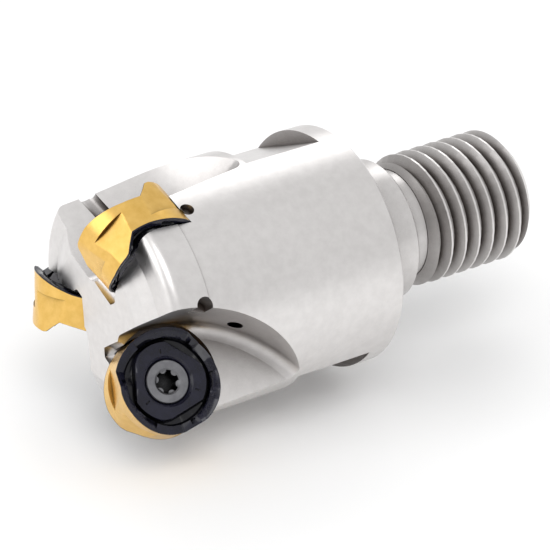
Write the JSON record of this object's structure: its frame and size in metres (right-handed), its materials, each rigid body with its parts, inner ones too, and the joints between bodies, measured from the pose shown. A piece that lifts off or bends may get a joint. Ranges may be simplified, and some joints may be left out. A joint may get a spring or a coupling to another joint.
{
  "type": "face mill",
  "caption": "Screw-in face milling head with round double-sided inserts clamped by star-drive screws, open chip gullets, spanner flats, locating pilot and coolant-through threaded shank.",
  "frame": {"origin": "centre of the annular face that seats against the holder, on the tool axis", "axes": "+X along the tool axis, out of the threaded shank end; +Z through the first tooth; the cutting end points to -X"},
  "size_m": [0.0586, 0.0297, 0.0302],
  "materials": {
    "body_steel": "satin nickel-plated alloy steel, bright turned shank",
    "coated_carbide": "hard metal with a gold coating on the flank and a blue-black coating on both faces",
    "screw_steel": "zinc-grey hardened steel"
  },
  "bodies": {
    "head": {"mill_body": "body_steel"},
    "insert_1": {"insert_1": "coated_carbide"},
    "screw_1": {"insert_screw_1": "screw_steel"},
    "insert_2": {"insert_2": "coated_carbide"},
    "screw_2": {"insert_screw_2": "screw_steel"},
    "insert_3": {"insert_3": "coated_carbide"},
    "screw_3": {"insert_screw_3": "screw_steel"}
  },
  "joints": [
    {"name": "insert_1_lift", "type": "slide", "parent": "head", "child": "insert_1", "axis": [-0.1368, 0.915, 0.3795], "range_m": [0, 0.0045]},
    {"name": "screw_1_turn", "type": "hinge", "parent": "insert_1", "child": "screw_1", "pos_m": [-0.02856, 0, 0.01029], "axis": [-0.1368, 0.915, 0.3795], "range_deg": [0, 2700]},
    {"name": "insert_2_lift", "type": "slide", "parent": "head", "child": "insert_2", "axis": [-0.1368, -0.7861, 0.6027], "range_m": [0, 0.0045]},
    {"name": "screw_2_turn", "type": "hinge", "parent": "insert_2", "child": "screw_2", "pos_m": [-0.02856, -0.00891, -0.00514], "axis": [-0.1368, -0.7861, 0.6027], "range_deg": [0, 2700]},
    {"name": "insert_3_lift", "type": "slide", "parent": "head", "child": "insert_3", "axis": [-0.1368, -0.1289, -0.9822], "range_m": [0, 0.0045]},
    {"name": "screw_3_turn", "type": "hinge", "parent": "insert_3", "child": "screw_3", "pos_m": [-0.02856, 0.00891, -0.00514], "axis": [-0.1368, -0.1289, -0.9822], "range_deg": [0, 2700]}
  ],
  "couplings": [
    {"joint": "screw_1_turn", "follows": "insert_1_lift", "rad_per_m": 10472},
    {"joint": "screw_2_turn", "follows": "insert_2_lift", "rad_per_m": 10472},
    {"joint": "screw_3_turn", "follows": "insert_3_lift", "rad_per_m": 10472}
  ]
}
